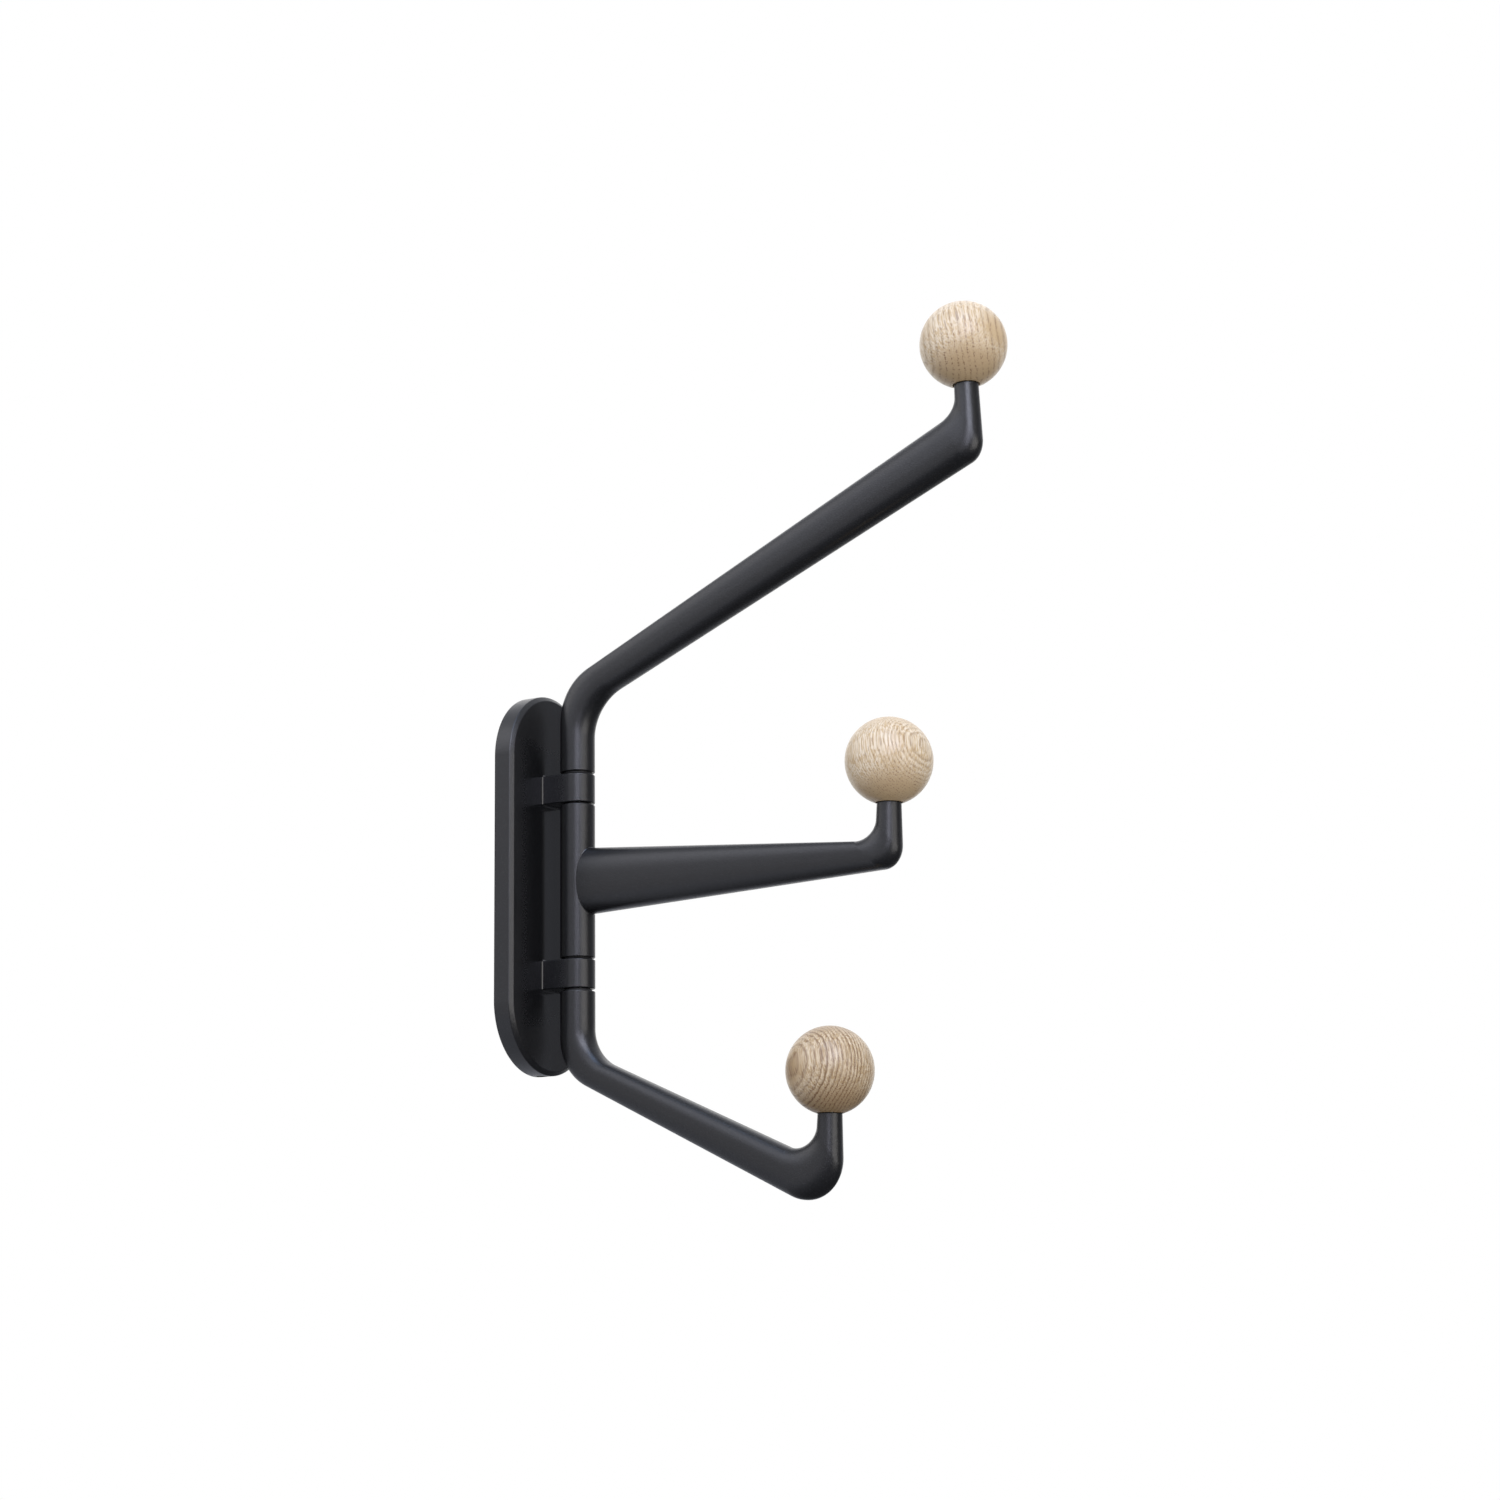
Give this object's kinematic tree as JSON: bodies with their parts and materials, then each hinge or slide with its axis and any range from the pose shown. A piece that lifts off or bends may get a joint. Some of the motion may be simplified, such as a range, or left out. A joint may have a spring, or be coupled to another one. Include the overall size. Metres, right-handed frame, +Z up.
{
  "type": "three-arm hook",
  "caption": "Swivel wall hook: cast arms of unequal length on an upright hinge pin, each tipped with an oak ball, on a round-ended wall plate with a hidden bracket.",
  "frame": {"origin": "middle of the wall face, where the bracket and the plate's rim lie on the wall", "axes": "+Z up the wall, +Y into the wall, so the arms stand out along -Y; +X to the side"},
  "size_m": [0.0582, 0.2251, 0.3518],
  "materials": {
    "anthracite_coat": "satin powder coat",
    "lacquered_oak": "matt lacquer",
    "zinc_plated_steel": "zinc plated",
    "blackened_steel": "blackened",
    "black_acetal": "moulded, satin",
    "brass": "turned"
  },
  "bodies": {
    "base": {"wall_plate": "anthracite_coat", "wall_bracket": "zinc_plated_steel", "locking_screw": "blackened_steel", "hinge_pin": "zinc_plated_steel"},
    "upper": {"upper_arm": "anthracite_coat", "upper_arm_bush": "black_acetal", "upper_arm_grub_screw": "blackened_steel", "upper_ball": "lacquered_oak", "upper_ball_insert": "brass", "upper_ball_stud": "zinc_plated_steel"},
    "middle": {"middle_arm": "anthracite_coat", "middle_arm_top_bush": "black_acetal", "middle_arm_bottom_bush": "black_acetal", "middle_ball": "lacquered_oak", "middle_ball_insert": "brass", "middle_ball_stud": "zinc_plated_steel"},
    "lower": {"lower_arm": "anthracite_coat", "lower_arm_bush": "black_acetal", "lower_arm_grub_screw": "blackened_steel", "lower_ball": "lacquered_oak", "lower_ball_insert": "brass", "lower_ball_stud": "zinc_plated_steel"}
  },
  "joints": [
    {"name": "upper_arm_swing", "type": "hinge", "parent": "base", "child": "upper", "pos_m": [0, -0.0216, 0], "axis": [0, 0, 1], "range_deg": [-90, 90]},
    {"name": "middle_arm_swing", "type": "hinge", "parent": "base", "child": "middle", "pos_m": [0, -0.0216, 0], "axis": [0, 0, 1], "range_deg": [-90, 90]},
    {"name": "lower_arm_swing", "type": "hinge", "parent": "base", "child": "lower", "pos_m": [0, -0.0216, 0], "axis": [0, 0, 1], "range_deg": [-90, 90]}
  ]
}
